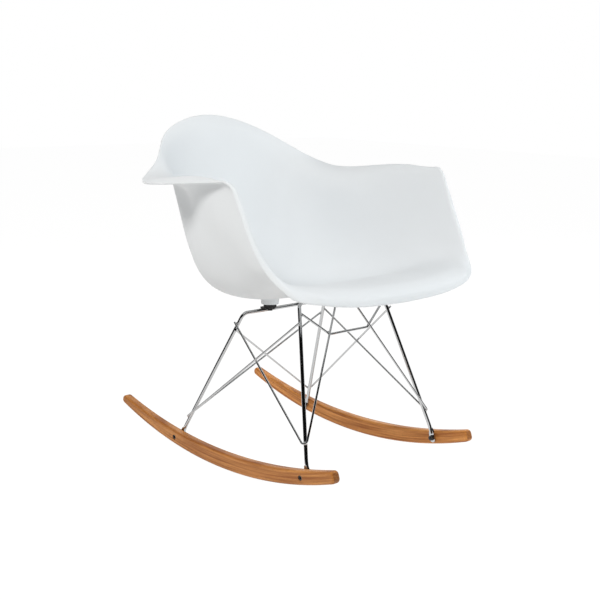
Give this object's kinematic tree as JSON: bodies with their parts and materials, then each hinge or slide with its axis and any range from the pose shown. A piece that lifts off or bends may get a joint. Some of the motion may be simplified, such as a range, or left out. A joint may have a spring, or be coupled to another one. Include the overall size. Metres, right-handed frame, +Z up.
{
  "type": "rocking armchair",
  "caption": "Rocking armchair: moulded bucket shell with turned-out arms on a braced base of bent steel rod, bolted to curved wooden rockers.",
  "frame": {"origin": "on the floor at the chair's middle, where the rockers touch it at rest", "axes": "+Z up, the chair faces -Y, +X towards the sitter's left"},
  "size_m": [0.6392, 0.6914, 0.7238],
  "materials": {
    "shell_plastic": "satin moulded plastic",
    "rocker_wood": "clear lacquered beech",
    "bright_steel": "bright plated rod",
    "black_steel": "black oxide",
    "rubber": "moulded black rubber",
    "brass": "knurled brass"
  },
  "bodies": {
    "root": {"seat_shell": "shell_plastic", "left_rocker": "rocker_wood", "right_rocker": "rocker_wood", "front_leg_rod": "bright_steel", "rear_leg_rod": "bright_steel", "front_stretcher": "bright_steel", "left_front_brace": "bright_steel", "right_front_brace": "bright_steel", "left_rear_brace": "bright_steel", "right_rear_brace": "bright_steel", "rocker_bolt_left_front": "black_steel", "rocker_washer_left_front": "bright_steel", "rocker_nut_left_front": "black_steel", "seat_tab_left_front": "black_steel", "seat_spacer_left_front": "rubber", "seat_bolt_left_front": "black_steel", "seat_insert_left_front": "brass", "rocker_bolt_left_rear": "black_steel", "rocker_washer_left_rear": "bright_steel", "rocker_nut_left_rear": "black_steel", "seat_tab_left_rear": "black_steel", "seat_spacer_left_rear": "rubber", "seat_bolt_left_rear": "black_steel", "seat_insert_left_rear": "brass", "rocker_bolt_right_front": "black_steel", "rocker_washer_right_front": "bright_steel", "rocker_nut_right_front": "black_steel", "seat_tab_right_front": "black_steel", "seat_spacer_right_front": "rubber", "seat_bolt_right_front": "black_steel", "seat_insert_right_front": "brass", "rocker_bolt_right_rear": "black_steel", "rocker_washer_right_rear": "bright_steel", "rocker_nut_right_rear": "black_steel", "seat_tab_right_rear": "black_steel", "seat_spacer_right_rear": "rubber", "seat_bolt_right_rear": "black_steel", "seat_insert_right_rear": "brass"}
  },
  "joints": []
}
